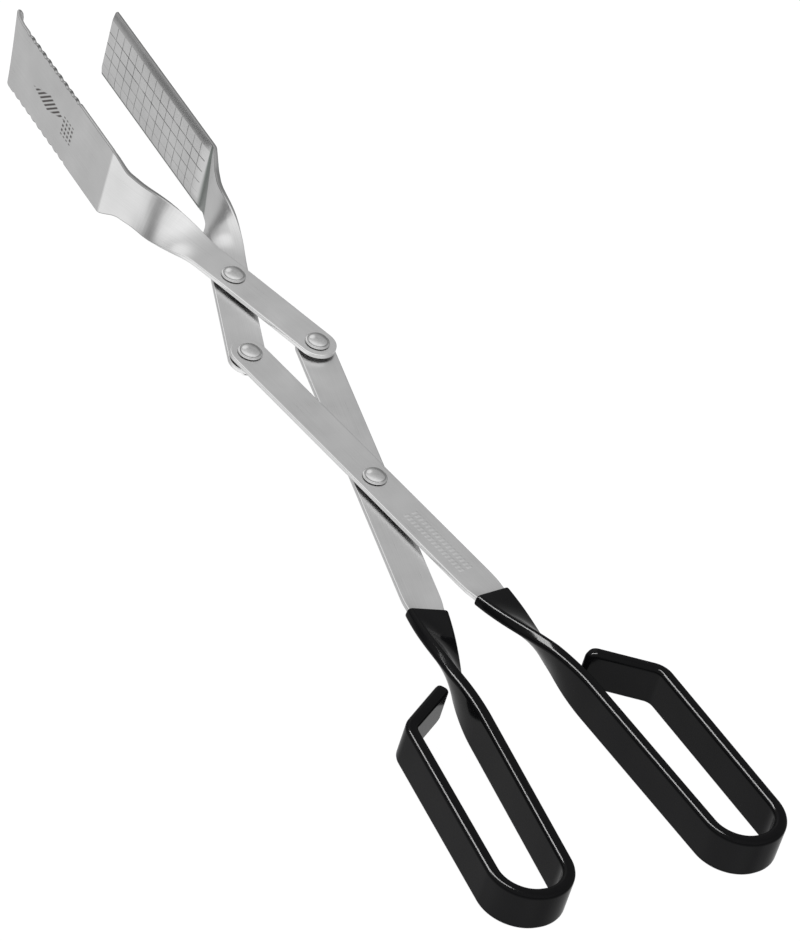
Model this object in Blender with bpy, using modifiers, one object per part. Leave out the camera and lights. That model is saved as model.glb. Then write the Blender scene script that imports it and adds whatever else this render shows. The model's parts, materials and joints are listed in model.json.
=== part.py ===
"""Lazy-tong barbecue tongs: four riveted flat bars, two gripping blades, two dipped finger loops.

The linkage lies in the XY plane with the jaws towards +Y, and the front layer of bars on +Z.
Each bar is a lofted strip. Its path is drawn flat beside its own pivot, then turned into place.
The rear bars are the front bars turned half a turn about the long axis.
"""
import math

import bmesh
import bpy
from mathutils import Matrix, Vector

MM = 0.001

# Strip stock
BAR_WIDTH = 16.0 * MM
BAR_THICKNESS = 2.0 * MM
EDGE_CHAMFER = 0.35 * MM
LAYER_GAP = 1.1 * MM
CLEARANCE = 0.3 * MM

# Linkage: a kite of four pivots
HANDLE_LINK = 79.5 * MM
JAW_LINK = 47.2 * MM
HANDLE_HALF_ANGLE = math.radians(11.18)
JAW_HALF_ANGLE = math.asin(HANDLE_LINK * math.sin(HANDLE_HALF_ANGLE) / JAW_LINK)

# Where the main pivot stands in the part's frame
MAIN_PIVOT_Y = -32.3 * MM
MID_PLANE_Z = 20.8 * MM

# The loops and blades are bent by hand: how far each stands off its own layer, in the
# frame of the front bars (a blade at its rear and at its front)
LOOP_LIFT = {"front": -0.3 * MM, "rear": 1.3 * MM}
BLADE_LIFT = {"front": (-1.0 * MM, -5.9 * MM), "rear": (3.4 * MM, 1.2 * MM)}

# Handle loop, as corners of the centreline (along the arm from the main pivot, outward)
LOOP_CORNERS = [(110.0, 0.0), (223.7, -11.0), (227.0, 18.6), (138.5, 29.2), (117.3, 8.2)]
LOOP_RADII = [40.0, 14.6, 14.6, 7.0]
HANDLE_TWIST = (60.3 * MM, 135.0 * MM)
ARM_SECTIONS = (14.0 * MM, 56.0 * MM)
COAT_START = 72.0 * MM
COAT_WIDTH = 17.4 * MM
COAT_THICKNESS = 5.0 * MM
COAT_ROUNDING = 1.9 * MM
MOUTH_ROUNDING = 0.35 * MM
TIP_ROUNDING = 1.8 * MM
COATED_STRIP_WIDTH = 15.4 * MM
STRIP_SHORT_OF_TIP = 2.4 * MM

# Jaw, as corners of the centreline (along the arm from the link pivot, outward)
BLADE_REAR = (118.1, 1.2)
BLADE_FRONT = (201.6, -30.6)
CREASE_RADIUS = 5.0
JAW_TWIST = (13.8 * MM, 55.9 * MM)
BLADE_HEIGHT = 31.8 * MM
BLADE_THICKNESS = 1.4 * MM
NECK_HEIGHT = 22.5 * MM
NECK_FLARE = (28.0 * MM, 62.0 * MM)
BLADE_FLARE = (60.0 * MM, 72.5 * MM)

# Front blade: scalloped edges and an inturned lip
LIP_FORWARD = 4.8
LIP_INWARD = 3.4
LIP_RADIUS = 2.4
LIP_LEAN = 0.24
LIP_RISE = 1.2 * MM
SCALLOP_PITCH = 5.4 * MM
SCALLOP_DEPTH = 0.7 * MM
SCALLOP_COUNT = 9
SCALLOP_SETBACK = 6.5 * MM

# Rear blade: long edges bent back, front edge cut short and a little off square
FLANGE_WIDTH = 3.8 * MM
FLANGE_SET = 0.6 * MM
REAR_BLADE_SHORT = 1.6 * MM
REAR_BLADE_SLANT = 0.05

# Rivets and washers
SHANK_RADIUS = 2.5 * MM
HOLE_RADIUS = 2.8 * MM
OPEN_PIVOT_HOLE_RADIUS = 3.6 * MM
BRIM_RADIUS = 5.1 * MM
BRIM_THICKNESS = 0.7 * MM
DOME_RADIUS = 3.5 * MM
DOME_HEIGHT = 1.6 * MM
TAIL_RADIUS = 4.2 * MM
TAIL_HEIGHT = 1.3 * MM
WASHER_RADIUS = 5.5 * MM
WASHER_THICKNESS = 0.5 * MM

LAYER_Z = (LAYER_GAP + BAR_THICKNESS) / 2
OUTER_FACE_Z = LAYER_GAP / 2 + BAR_THICKNESS
FRAME_OFFSET = Vector((0.0, MAIN_PIVOT_Y, MID_PLANE_Z))

LINK_X = HANDLE_LINK * math.sin(HANDLE_HALF_ANGLE)
LINK_Y = HANDLE_LINK * math.cos(HANDLE_HALF_ANGLE)
JAW_Y = LINK_Y + JAW_LINK * math.cos(JAW_HALF_ANGLE)
PIVOTS = {
    "main pivot": Vector((0.0, 0.0, 0.0)),
    "left link": Vector((-LINK_X, LINK_Y, 0.0)),
    "right link": Vector((LINK_X, LINK_Y, 0.0)),
    "jaw crossing": Vector((0.0, JAW_Y, 0.0)),
}

STEEL = ("Satin stainless steel", (0.60, 0.61, 0.61, 1.0), 0.34, 1.0)
BLADE_STEEL = ("Blade stainless steel", (0.55, 0.56, 0.56, 1.0), 0.38, 1.0)
RIVET_STEEL = ("Polished rivet steel", (0.66, 0.66, 0.65, 1.0), 0.22, 1.0)
WASHER_STEEL = ("Plain washer steel", (0.50, 0.50, 0.50, 1.0), 0.42, 1.0)
VINYL = ("Black dipped vinyl", (0.012, 0.012, 0.013, 1.0), 0.18, 0.0)


def clear_scene():
    """Remove whatever objects the file opened with."""
    for obj in list(bpy.data.objects):
        bpy.data.objects.remove(obj, do_unlink=True)


def new_collection(name):
    """Link and return a new collection."""
    coll = bpy.data.collections.new(name)
    bpy.context.scene.collection.children.link(coll)
    return coll


def material(spec):
    """Return the named Principled material, making it the first time."""
    name, colour, roughness, metallic = spec
    mat = bpy.data.materials.get(name)
    if mat is None:
        mat = bpy.data.materials.new(name)
        mat.use_nodes = True
        shader = mat.node_tree.nodes["Principled BSDF"]
        shader.inputs["Base Color"].default_value = colour
        shader.inputs["Roughness"].default_value = roughness
        shader.inputs["Metallic"].default_value = metallic
        mat.diffuse_color = colour
    return mat


def smooth(value, start, end):
    """Ease from 0 to 1 as value runs from start to end."""
    u = min(max((value - start) / (end - start), 0.0), 1.0)
    return u * u * (3.0 - 2.0 * u)


def corner_arc(before, corner, after, radius):
    """Points of the arc that rounds one corner of a flat polyline."""
    back = (before - corner).normalized()
    ahead = (after - corner).normalized()
    half = back.angle(ahead) / 2
    start = corner + back * (radius / math.tan(half))
    centre = corner + (back + ahead).normalized() * (radius / math.sin(half))
    sweep = math.pi - 2 * half
    turn = math.copysign(sweep, back.cross(ahead).z * -1.0)
    steps = max(2, math.ceil(sweep / math.radians(9)))
    arm = start - centre
    return [centre + Matrix.Rotation(turn * i / steps, 3, "Z") @ arm for i in range(steps + 1)]


def rounded_path(corners, radii):
    """Flat path through the corners (millimetre pairs) with its inner corners rounded."""
    points = [Vector((x * MM, y * MM, 0.0)) for x, y in corners]
    path = [points[0]]
    for i, radius in enumerate(radii, start=1):
        path += corner_arc(points[i - 1], points[i], points[i + 1], radius * MM)
    return path + [points[-1]]


class Track:
    """A flat path that can be sampled by distance from its start."""

    def __init__(self, points):
        self.points = points
        self.marks = [0.0]
        for a, b in zip(points, points[1:]):
            self.marks.append(self.marks[-1] + (b - a).length)
        self.length = self.marks[-1]

    def at(self, distance):
        """Point and heading at a distance along the path."""
        i = 0
        while i < len(self.marks) - 2 and self.marks[i + 1] < distance:
            i += 1
        a, b = self.points[i], self.points[i + 1]
        point = a + (b - a) * ((distance - self.marks[i]) / (b - a).length)
        return point, self.heading(distance, i)

    def heading(self, distance, i):
        """Heading blended between the two segments that meet at the nearer corner."""
        here = (self.points[i + 1] - self.points[i]).normalized()
        share = (distance - self.marks[i]) / (self.marks[i + 1] - self.marks[i])
        other = i + 1 if share > 0.5 else i - 1
        if other < 0 or other > len(self.points) - 2:
            return here
        there = (self.points[other + 1] - self.points[other]).normalized()
        return here.lerp(there, abs(share - 0.5)).normalized()


def strip_outline(width, thickness, set_back=0.0, flange=None):
    """Chamfered outline of a flat strip as (across, through) pairs.

    A set-back drops the middle of the strip below its long edges.
    """
    half, h, c = width / 2, thickness / 2, EDGE_CHAMFER
    inner = half - (flange if flange else half / 2)
    lower = [(-half + c, -h), (-inner, -h - set_back), (0.0, -h - set_back),
             (inner, -h - set_back), (half - c, -h)]
    side = [(half, -h + c), (half, h - c)]
    upper = [(-x, y + thickness) for x, y in lower]
    return lower + side + upper + [(-x, -y) for x, y in side]


def rounded_outline(width, thickness, radius, steps=3):
    """Outline of a strip with rounded edges as (across, through) pairs."""
    radius = min(radius, thickness / 2 * 0.98, width / 2 * 0.98)
    outline = []
    for corner, (sx, sy) in enumerate(((1, -1), (1, 1), (-1, 1), (-1, -1))):
        cx, cy = sx * (width / 2 - radius), sy * (thickness / 2 - radius)
        for i in range(steps + 1):
            angle = math.radians(-90 + 90 * corner + 90 * i / steps)
            outline.append((cx + radius * math.cos(angle), cy + radius * math.sin(angle)))
        if corner in (1, 3):
            outline += [(f * sx * -width, sy * thickness / 2) for f in (-0.25, 0.0, 0.25)]
    return outline


def place_ring(track, distance, twist, lift, outline, lean=Vector((0.0, 0.0, 0.0))):
    """Ring of points for one cross-section. The right-hand edge rises with the twist.

    A lean carries the raised edge along that vector, for each unit of height.
    """
    point, heading = track.at(distance)
    right = Vector((heading.y, -heading.x, 0.0))
    up = Vector((0.0, 0.0, 1.0))
    across = right * math.cos(twist) + up * math.sin(twist)
    through = up * math.cos(twist) - right * math.sin(twist)
    centre = point + up * (LAYER_Z + lift)
    across += lean
    return [centre + across * a + through * t for a, t in outline]


def loft(rings):
    """Closed mesh body through a list of equal rings."""
    bm = bmesh.new()
    loops = [[bm.verts.new(p) for p in ring] for ring in rings]
    for a, b in zip(loops, loops[1:]):
        for i in range(len(a)):
            j = (i + 1) % len(a)
            bm.faces.new((a[i], a[j], b[j], b[i]))
    bm.faces.new(loops[0])
    bm.faces.new(list(reversed(loops[-1])))
    bmesh.ops.recalc_face_normals(bm, faces=bm.faces)
    return bm


def add_object(name, bm, pivot, spec, coll, turn=None):
    """Object from a bmesh drawn about its own pivot, stood on that pivot in the frame."""
    if turn is not None:
        bmesh.ops.transform(bm, matrix=turn, verts=bm.verts)
    mesh = bpy.data.meshes.new(name)
    bm.to_mesh(mesh)
    bm.free()
    obj = bpy.data.objects.new(name, mesh)
    obj.location = pivot + FRAME_OFFSET
    mesh.materials.append(material(spec))
    coll.objects.link(obj)
    return obj


def spans(*runs):
    """Distances from (start, end, step) runs, each mark once and in order."""
    marks = []
    for start, end, step in runs:
        count = max(1, round((end - start) / step))
        marks += [start + (end - start) * i / count for i in range(count + 1)]
    marks = sorted(marks)
    return [m for i, m in enumerate(marks) if i == 0 or m - marks[i - 1] > 0.0002]


def round_end(distance):
    """Share of the full width a strip has near its half-disc start."""
    radius = BAR_WIDTH / 2
    reach = max(radius - distance, 0.0)
    return max(math.sqrt(max(1 - (reach / radius) ** 2, 0.0)), 0.12)


def end_marks(width):
    """Distances that follow the half-disc start of a strip evenly."""
    return [width / 2 * (1 - math.cos(math.radians(a))) for a in (4, 15, 30, 45, 60, 75, 90)]


def handle_track():
    """Centreline of a handle: arm from its link end, then the open finger loop."""
    start = (-HANDLE_LINK / MM - BAR_WIDTH / MM / 2, 0.0)
    return Track(rounded_path([start] + LOOP_CORNERS, LOOP_RADII))


def handle_turn():
    """Turn from the drawn handle (arm along +X) to the front handle at rest."""
    return Matrix.Rotation(HANDLE_HALF_ANGLE - math.pi / 2, 4, "Z")


def half_turn():
    """Half a turn about the long axis, from the front layer to the rear layer."""
    return Matrix.Rotation(math.pi, 4, "Y")


def handle_marks(track, start, end):
    """Distances for the cross-sections of a handle, closer where it twists or bends."""
    pivot = HANDLE_LINK + BAR_WIDTH / 2
    twist_from, twist_to = pivot + HANDLE_TWIST[0], pivot + HANDLE_TWIST[1]
    bends = [m for m in track.marks if start < m < end]
    return spans((start, start, 1), (twist_from, twist_to, 0.003), (end, end, 1)) + bends


def ordered(marks, start, end):
    """Marks sorted and thinned between two distances, both ends kept."""
    inside = sorted(m for m in marks if start + 0.0006 < m < end - 0.0006)
    kept = [start]
    for mark in inside:
        if mark - kept[-1] > 0.0006:
            kept.append(mark)
    return kept + [end]


def handle_twist(distance):
    """Twist of a handle at a distance from its link end."""
    pivot = HANDLE_LINK + BAR_WIDTH / 2
    return math.pi / 2 * smooth(distance - pivot, *HANDLE_TWIST)


def loop_lift(distance, side):
    """Height of a handle's centreline off its layer at a distance from its link end."""
    pivot = HANDLE_LINK + BAR_WIDTH / 2
    return LOOP_LIFT[side] * smooth(distance - pivot, *HANDLE_TWIST)


def handle_strip(side):
    """Bare steel strip of a handle, drawn about the main pivot."""
    track = handle_track()
    pivot = HANDLE_LINK + BAR_WIDTH / 2
    end = track.length - STRIP_SHORT_OF_TIP
    taper = (pivot + COAT_START - 0.006, pivot + COAT_START - 0.001)
    marks = end_marks(BAR_WIDTH) + list(taper) + handle_marks(track, 0.001, end)
    marks += [pivot + section for section in ARM_SECTIONS]
    rings = []
    for mark in ordered(marks, end_marks(BAR_WIDTH)[0], end):
        width = BAR_WIDTH + (COATED_STRIP_WIDTH - BAR_WIDTH) * smooth(mark, *taper)
        outline = strip_outline(width * round_end(mark), BAR_THICKNESS)
        rings.append(place_ring(track, mark, handle_twist(mark), loop_lift(mark, side), outline))
    return loft(rings)


def coat_rings(track, side, start, end, section, rounding, blunt):
    """Rings of one skin of the dipped coat, rounded off over the last stretch."""
    width, thickness = section
    marks = handle_marks(track, start, end) + [end - blunt * f for f in (0.3, 0.6, 1.0)]
    rings = []
    for mark in ordered(marks, start, end):
        left = min((end - mark) / blunt, 1.0)
        trim = blunt * (1 - math.sqrt(max(1 - (1 - left) ** 2, 0.0)))
        w, t = width - 2 * trim, max(thickness - 1.6 * trim, thickness * 0.3)
        outline = rounded_outline(w, t, rounding)
        rings.append(place_ring(track, mark, handle_twist(mark), loop_lift(mark, side), outline))
    return rings


def coat_shell(side):
    """Dipped coat: a sleeve open at its mouth and closed over the tip of the loop."""
    track = handle_track()
    start = HANDLE_LINK + BAR_WIDTH / 2 + COAT_START
    inner_end = track.length - STRIP_SHORT_OF_TIP + CLEARANCE
    outer = coat_rings(track, side, start + MOUTH_ROUNDING, track.length,
                       (COAT_WIDTH, COAT_THICKNESS), COAT_ROUNDING, TIP_ROUNDING)
    shrink = 1.6 * MOUTH_ROUNDING
    mouth = rounded_outline(COAT_WIDTH - shrink, COAT_THICKNESS - shrink, COAT_ROUNDING)
    outer.insert(0, place_ring(track, start, handle_twist(start), loop_lift(start, side), mouth))
    hollow = (COATED_STRIP_WIDTH + 2 * CLEARANCE, BAR_THICKNESS + 2 * CLEARANCE)
    inner = coat_rings(track, side, start, inner_end, hollow, EDGE_CHAMFER, 0.01 * MM)
    return sleeve(outer, inner)


def sleeve(outer, inner):
    """Closed body between an outer and an inner skin that share an open mouth."""
    bm = bmesh.new()
    skins = [[[bm.verts.new(p) for p in ring] for ring in rings] for rings in (outer, inner)]
    for loops in skins:
        for a, b in zip(loops, loops[1:]):
            for i in range(len(a)):
                j = (i + 1) % len(a)
                bm.faces.new((a[i], a[j], b[j], b[i]))
        bm.faces.new(loops[-1])
    mouth_out, mouth_in = skins[0][0], skins[1][0]
    for i in range(len(mouth_out)):
        j = (i + 1) % len(mouth_out)
        bm.faces.new((mouth_out[i], mouth_out[j], mouth_in[j], mouth_in[i]))
    bmesh.ops.recalc_face_normals(bm, faces=bm.faces)
    return bm


def jaw_track(lip):
    """Centreline of a jaw: arm, neck, blade and, if asked for, the inturned lip."""
    corners = [(-BAR_WIDTH / MM / 2, 0.0), (JAW_LINK / MM, 0.0), BLADE_REAR]
    radii = [60.0, CREASE_RADIUS]
    if not lip:
        return Track(rounded_path(corners + [BLADE_FRONT], radii))
    run = (Vector(BLADE_FRONT) - Vector(BLADE_REAR)).normalized()
    side = Vector((run.y, -run.x))
    bend = Vector(BLADE_FRONT) + run * LIP_FORWARD
    corners += [tuple(bend), tuple(bend + side * LIP_INWARD)]
    return Track(rounded_path(corners, radii + [LIP_RADIUS]))


def blade_span(track):
    """Distances at which the blade starts (crease) and ends (before any lip)."""
    arm = (JAW_LINK + BAR_WIDTH / 2)
    rear = arm + (Vector(BLADE_REAR) - Vector((JAW_LINK / MM, 0.0))).length * MM
    return rear, rear + (Vector(BLADE_FRONT) - Vector(BLADE_REAR)).length * MM


def jaw_section(mark, track, side):
    """Width, thickness, set-back and lift of a jaw at one distance."""
    rear, front = blade_span(track)
    pivot = JAW_LINK + BAR_WIDTH / 2
    growth = smooth(mark - pivot, *BLADE_FLARE)
    width = BAR_WIDTH + (NECK_HEIGHT - BAR_WIDTH) * smooth(mark - pivot, *NECK_FLARE)
    width += (BLADE_HEIGHT - NECK_HEIGHT) * growth
    thickness = BAR_THICKNESS + (BLADE_THICKNESS - BAR_THICKNESS) * growth
    along = min(max((mark - rear) / (front - rear), 0.0), 1.0)
    rear_lift, front_lift = BLADE_LIFT[side]
    lift = rear_lift * smooth(mark - pivot, JAW_TWIST[0], rear - pivot)
    lift += (front_lift - rear_lift) * along
    set_back = 0.0
    if side == "front":
        lift += LIP_RISE * smooth(mark, front, front + LIP_FORWARD * MM)
        width -= scallop(front - mark)
        width -= 5.0 * MM * smooth(mark, track.length - 0.003, track.length) ** 2
    else:
        set_back = FLANGE_SET * smooth(mark, rear, rear + 0.008)
    return width * round_end(mark), thickness, set_back, lift


def blade_lean(mark, track, side):
    """How far each section leans along the blade, for each unit of height.

    The front jaw's lip reaches further at its top than below. The rear blade is slanted.
    """
    run = (Vector(BLADE_FRONT) - Vector(BLADE_REAR)).normalized().to_3d()
    rear, front = blade_span(track)
    if side == "front":
        return run * (LIP_LEAN * smooth(mark, front, front + LIP_FORWARD * MM))
    return run * (-REAR_BLADE_SLANT * smooth(mark, rear - 0.01, rear))


def scallop(from_front):
    """Loss of blade height at a distance back from the front of the flat blade."""
    run = from_front - SCALLOP_SETBACK
    if run < 0.0 or run > SCALLOP_PITCH * SCALLOP_COUNT:
        return 0.0
    return 2 * SCALLOP_DEPTH * (1 - abs(math.sin(math.pi * run / SCALLOP_PITCH)))


def jaw_strip(side):
    """Steel strip of a jaw, drawn about its link pivot. The front one is scalloped."""
    scalloped = side == "front"
    track = jaw_track(lip=scalloped)
    rear, front = blade_span(track)
    pivot = JAW_LINK + BAR_WIDTH / 2
    marks = end_marks(BAR_WIDTH) + list(track.marks)
    marks += spans((pivot + JAW_TWIST[0], rear + 0.008, 0.0035), (rear, front, 0.011))
    if scalloped:
        first = front - SCALLOP_SETBACK
        marks = [m for m in marks if not first - SCALLOP_PITCH * SCALLOP_COUNT < m < first]
        marks += [first - SCALLOP_PITCH * i / 6 for i in range(SCALLOP_COUNT * 6 + 1)]
        marks += [track.length - d for d in (0.004, 0.003, 0.002, 0.001)]
    end = track.length - (0.0 if scalloped else REAR_BLADE_SHORT)
    rings = []
    for mark in ordered(marks, end_marks(BAR_WIDTH)[0], end):
        width, thickness, set_back, lift = jaw_section(mark, track, side)
        twist = math.pi / 2 * smooth(mark - pivot, *JAW_TWIST)
        outline = strip_outline(width, thickness, set_back, None if scalloped else FLANGE_WIDTH)
        rings.append(place_ring(track, mark, twist, lift, outline, blade_lean(mark, track, side)))
    return loft(rings)


def jaw_turn():
    """Turn from the drawn jaw (arm along +X) to the front jaw at rest."""
    return Matrix.Rotation(math.pi / 2 + JAW_HALF_ANGLE, 4, "Z")


def revolved(name, profile, pivot, spec, coll, closed=False):
    """Body turned from a profile of (radius, height) pairs about the pivot axis."""
    mesh = bpy.data.meshes.new(name)
    edges = [(i, i + 1) for i in range(len(profile) - 1)]
    if closed:
        edges.append((len(profile) - 1, 0))
    mesh.from_pydata([(r, 0.0, z) for r, z in profile], edges, [])
    obj = bpy.data.objects.new(name, mesh)
    obj.location = pivot + FRAME_OFFSET
    mesh.materials.append(material(spec))
    coll.objects.link(obj)
    screw = obj.modifiers.new("Turned about the pivot", "SCREW")
    screw.axis = "Z"
    screw.angle = math.tau
    screw.steps = screw.render_steps = 32
    screw.use_merge_vertices = True
    screw.merge_threshold = 0.00001
    return obj


def rivet_profile():
    """Domed head with a flat brim, plain shank and clinched tail, from top to bottom."""
    seat = OUTER_FACE_Z + CLEARANCE
    brim = seat + BRIM_THICKNESS
    dome = [(DOME_RADIUS * math.sin(math.radians(a)), brim + DOME_HEIGHT * math.cos(math.radians(a)))
            for a in (0, 18, 36, 54, 72, 90)]
    shoulder = [(DOME_RADIUS + 0.2 * MM, brim - 0.1 * MM), (BRIM_RADIUS - 0.3 * MM, brim - 0.15 * MM),
                (BRIM_RADIUS, brim - 0.35 * MM), (BRIM_RADIUS, seat), (SHANK_RADIUS, seat)]
    tail = [(SHANK_RADIUS, -seat), (TAIL_RADIUS, -seat), (TAIL_RADIUS, -seat - 0.4 * TAIL_HEIGHT),
            (TAIL_RADIUS * 0.78, -seat - 0.85 * TAIL_HEIGHT), (TAIL_RADIUS * 0.4, -seat - TAIL_HEIGHT),
            (0.0, -seat - TAIL_HEIGHT)]
    dome[0] = (0.0, dome[0][1])
    return dome + shoulder + tail


def washer_profile():
    """Rectangular section of a flat spacer washer."""
    h = WASHER_THICKNESS / 2
    return [(WASHER_RADIUS, h), (WASHER_RADIUS, -h), (HOLE_RADIUS, -h), (HOLE_RADIUS, h)]


def drill(obj, pivot, radius, coll):
    """Cut a rivet hole through a bar at a pivot."""
    bm = bmesh.new()
    bmesh.ops.create_cone(bm, cap_ends=True, segments=40, radius1=radius, radius2=radius,
                          depth=0.02)
    cutter = add_object(f"Hole_cutter_{obj.name}", bm, pivot, WASHER_STEEL, coll)
    cutter.hide_render = True
    cutter.display_type = "WIRE"
    cut = obj.modifiers.new("Rivet hole", "BOOLEAN")
    cut.operation = "DIFFERENCE"
    cut.solver = "EXACT"
    cut.object = cutter


def build_handles(parts, cutters):
    """Both handle bars with their dipped loops."""
    main = PIVOTS["main pivot"]
    for side, turn, link in (("front", handle_turn(), "left link"),
                             ("rear", half_turn() @ handle_turn(), "right link")):
        bar = add_object(f"{side}_handle_bar", handle_strip(side), main, STEEL, parts, turn)
        drill(bar, main, HOLE_RADIUS, cutters)
        drill(bar, PIVOTS[link], HOLE_RADIUS, cutters)
        add_object(f"{side}_handle_dipped_grip", coat_shell(side), main, VINYL,
                   parts, turn)


def build_jaws(parts, cutters):
    """Both jaws: the scalloped one in front, the flanged one behind."""
    crossing = PIVOTS["jaw crossing"]
    right, left = PIVOTS["right link"], PIVOTS["left link"]
    front = add_object("front_scalloped_jaw", jaw_strip("front"), right, BLADE_STEEL, parts, jaw_turn())
    rear = add_object("rear_flanged_jaw", jaw_strip("rear"), left, BLADE_STEEL, parts,
                      half_turn() @ jaw_turn())
    for jaw, link, crossing_hole in ((front, right, HOLE_RADIUS),
                                     (rear, left, OPEN_PIVOT_HOLE_RADIUS)):
        drill(jaw, link, HOLE_RADIUS, cutters)
        drill(jaw, crossing, crossing_hole, cutters)


def build_rivets(parts):
    """One rivet and one spacer washer at each pivot."""
    for label, pivot in PIVOTS.items():
        title = label.replace(" ", "_")
        revolved(f"{title}_rivet", rivet_profile(), pivot, RIVET_STEEL, parts)
        revolved(f"{title}_spacer_washer", washer_profile(), pivot, WASHER_STEEL, parts, True)


def main():
    """Build the tongs at their rest pose."""
    clear_scene()
    parts = new_collection("Lazy tongs")
    cutters = new_collection("Cutters")
    build_handles(parts, cutters)
    build_jaws(parts, cutters)
    build_rivets(parts)


main()
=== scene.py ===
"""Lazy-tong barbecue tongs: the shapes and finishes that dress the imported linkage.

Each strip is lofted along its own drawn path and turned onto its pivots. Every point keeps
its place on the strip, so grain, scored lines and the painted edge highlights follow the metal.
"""
import json
import math

import bmesh
import bpy
from bpy.props import FloatProperty, FloatVectorProperty, IntProperty, PointerProperty
from mathutils import Matrix, Vector


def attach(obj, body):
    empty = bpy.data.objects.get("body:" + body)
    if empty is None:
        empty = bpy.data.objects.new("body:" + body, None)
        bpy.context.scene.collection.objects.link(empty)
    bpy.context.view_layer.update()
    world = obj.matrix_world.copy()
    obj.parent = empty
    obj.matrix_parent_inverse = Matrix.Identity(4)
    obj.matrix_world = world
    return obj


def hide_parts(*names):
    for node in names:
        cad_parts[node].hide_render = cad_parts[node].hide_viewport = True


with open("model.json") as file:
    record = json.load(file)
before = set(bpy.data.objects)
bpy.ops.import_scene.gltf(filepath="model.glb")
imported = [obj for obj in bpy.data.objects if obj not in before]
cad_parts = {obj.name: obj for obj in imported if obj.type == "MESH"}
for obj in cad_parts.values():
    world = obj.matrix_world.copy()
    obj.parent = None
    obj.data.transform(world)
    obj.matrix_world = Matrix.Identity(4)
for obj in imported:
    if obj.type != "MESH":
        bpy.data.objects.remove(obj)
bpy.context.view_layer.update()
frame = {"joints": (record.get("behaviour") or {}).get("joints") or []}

bl_info = {
    "name": "Lazy tongs",
    "version": (1, 0, 0),
    "blender": (4, 5, 0),
    "location": "View3D > Sidebar > Tongs",
    "description": "Builds riveted lazy tongs with dipped finger loops on a packed linkage",
    "category": "Add Mesh",
}

MM = 0.001

# Pivots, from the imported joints. The jaw crossing lies on the long axis.
JOINT = {joint["name"]: joint for joint in frame["joints"]}
MAIN_PIVOT = Vector(JOINT["main_pivot"]["pos_m"])
RIGHT_LINK = Vector(JOINT["right_link_pivot"]["pos_m"])
LEFT_LINK = Vector(JOINT["left_link_pivot"]["pos_m"])
JAW_LINK = 47.2 * MM
HANDLE_LINK = (RIGHT_LINK - MAIN_PIVOT).length
HANDLE_HALF_ANGLE = math.asin(RIGHT_LINK.x / HANDLE_LINK)
JAW_HALF_ANGLE = math.asin(RIGHT_LINK.x / JAW_LINK)
CROSSING = Vector((0.0, RIGHT_LINK.y + JAW_LINK * math.cos(JAW_HALF_ANGLE), MAIN_PIVOT.z))

# Layers and holes. The rear jaw's hole at the crossing leaves the shank room to wander.
LAYER_GAP = 1.1 * MM
HOLE_RADIUS = 2.8 * MM
OPEN_HOLE_RADIUS = 3.6 * MM
HOLE_SIDES = 48
DRILL_LENGTH = 20.0 * MM
RIM_TOLERANCE = 0.05 * MM

# Handle: centreline corners along the arm and outward, and how far each loop stands off
LOOP_CORNERS = [(110.0, 0.0), (223.7, -11.0), (227.0, 18.6), (138.5, 29.2), (117.3, 8.2)]
LOOP_RADII = [40.0, 14.6, 14.6, 7.0]
LOOP_LIFT = {"front": -0.3 * MM, "rear": 1.3 * MM}
HANDLE_TWIST = (60.3 * MM, 135.0 * MM)
COAT_START = 72.0 * MM
COAT_FIT = 0.3 * MM
COAT_MOUTH = 0.7 * MM
COAT_CORNER = 4.5 * MM
COAT_LINING_ROUNDING = 0.35 * MM
COATED_STRIP_WIDTH = 15.4 * MM
STRIP_SHORT_OF_TIP = 2.4 * MM
NARROWS_BEFORE_COAT = (6.0 * MM, 1.0 * MM)

# Jaw: centreline corners along the arm and outward, and how far each blade stands off
BLADE_REAR = (118.1, 1.2)
BLADE_FRONT = (201.6, -30.6)
BLADE_LIFT = {"front": (-1.0 * MM, -5.9 * MM), "rear": (3.4 * MM, 1.2 * MM)}
JAW_TWIST = (13.8 * MM, 55.9 * MM)
NECK_HEIGHT = 22.5 * MM
NECK_FLARE = (28.0 * MM, 62.0 * MM)
BLADE_FLARE = (60.0 * MM, 72.5 * MM)
BLADE_THICKNESS = 1.4 * MM
LIP_FORWARD = 4.8
LIP_INWARD = 3.4
LIP_RADIUS = 2.4
LIP_LEAN = 0.24
LIP_RISE = 1.2 * MM
LIP_CORNER = 2.8 * MM
LOWER_CORNER = 4.0 * MM
LOWER_CORNER_REACH = 2.0 * MM
REAR_BLADE_SLANT = -0.05
REAR_BLADE_SHORT = 1.6 * MM
FLANGE_WIDTH = 3.9 * MM
FLANGE_SET = 0.8 * MM
FLANGE_FOLD = 0.25 * MM
FLANGE_BEGINS = (-2.0 * MM, 8.0 * MM)

# Rivets. The brim's corners stand from the foot of the dome, the tail's from the lower seat.
DOME_RADIUS = 4.25 * MM
DOME_HEIGHT = 1.6 * MM
BRIM_HEIGHT = 0.75 * MM
RIVET_CLEARANCE = 0.3 * MM
RIVET_ROUNDING = 0.18 * MM
BRIM = [(4.35 * MM, -0.25 * MM), (4.95 * MM, -0.35 * MM)]
BRIM_RADIUS = 5.1 * MM
SHANK_RADIUS = 2.5 * MM
TAIL_RADIUS = 4.2 * MM
TAIL = [(TAIL_RADIUS, -0.5 * MM), (3.3 * MM, -1.1 * MM), (1.8 * MM, -1.3 * MM), (0.0, -1.3 * MM)]

# Washers
WASHER_INNER = 2.8 * MM
WASHER_MIDDLE = 4.0 * MM
WASHER_OUTER = 5.5 * MM
WASHER_HALF_THICKNESS = 0.25 * MM
WASHER_ROUNDING = 0.08 * MM

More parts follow.
